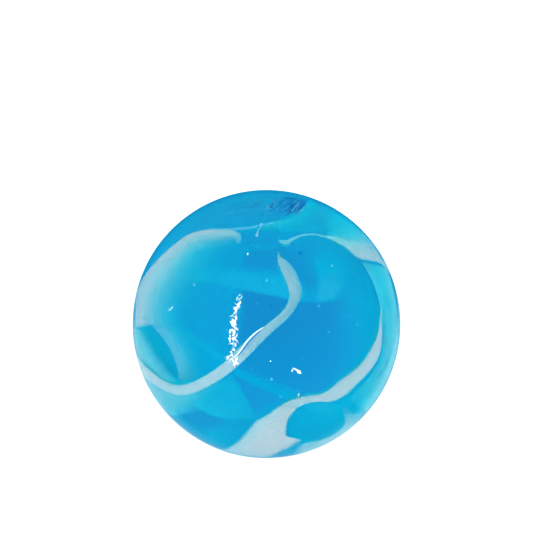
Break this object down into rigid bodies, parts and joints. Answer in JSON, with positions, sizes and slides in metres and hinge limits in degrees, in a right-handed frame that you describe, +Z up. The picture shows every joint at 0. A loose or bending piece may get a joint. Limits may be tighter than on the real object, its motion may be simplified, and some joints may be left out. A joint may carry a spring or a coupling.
{
  "type": "glass marble",
  "caption": "Solid glass ball, translucent aqua blue with opaque white swirled ribbons and veils, for games, rolling, agitating or as a filler.",
  "frame": {"origin": "centre of the ball", "axes": "+Z up, -Y is the swirled face that is seen first; the cut-off scar lies near the top, 12 degrees from +Z"},
  "size_m": [0.016, 0.016, 0.016],
  "materials": {
    "blue_glass": "clear aqua-blue glass, fire-polished and glossy",
    "white_glass": "opaque white glass in ribbons and thin veils inside the blue"
  },
  "bodies": {
    "root": {"marble": "blue_glass"}
  },
  "joints": []
}
